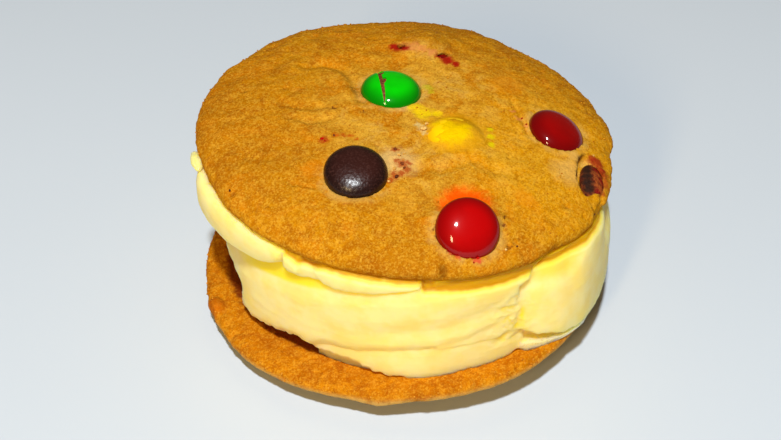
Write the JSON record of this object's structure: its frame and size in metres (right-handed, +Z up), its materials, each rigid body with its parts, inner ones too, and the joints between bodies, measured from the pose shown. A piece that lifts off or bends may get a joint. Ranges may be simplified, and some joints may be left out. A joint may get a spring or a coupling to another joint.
{
  "type": "ice cream sandwich",
  "caption": "Round cookie sandwich: thick folded vanilla ice cream between two sugar cookies, the upper one studded with sunk button candies.",
  "frame": {"origin": "on the surface that the sandwich rests on, under the middle of its bounding box", "axes": "+Z up through the layers; +Y away from the side with the short broken layer of ice cream; +X towards the side where the ice cream leans out"},
  "size_m": [0.0911, 0.0957, 0.0475],
  "materials": {
    "cookie": "baked sugar cookie, golden, dry and finely crumbed",
    "baked_cookie": "browned flat underside of a sugar cookie",
    "ice_cream": "firm smooth vanilla ice cream, soft sheen",
    "green_shell": "glossy sugar shell, green",
    "brown_shell": "glossy sugar shell, dark brown",
    "red_shell": "glossy sugar shell, red",
    "yellow_shell": "glossy sugar shell, yellow",
    "dark_shell": "cracked dark sugar shell over chocolate"
  },
  "bodies": {
    "root": {"top_cookie": "cookie", "bottom_cookie": "baked_cookie", "ice_cream": "ice_cream", "candy_green": "green_shell", "candy_brown": "brown_shell", "candy_red_front": "red_shell", "candy_red_right": "red_shell", "candy_red_back": "red_shell", "candy_yellow": "yellow_shell", "candy_dark_rim": "dark_shell"}
  },
  "joints": []
}
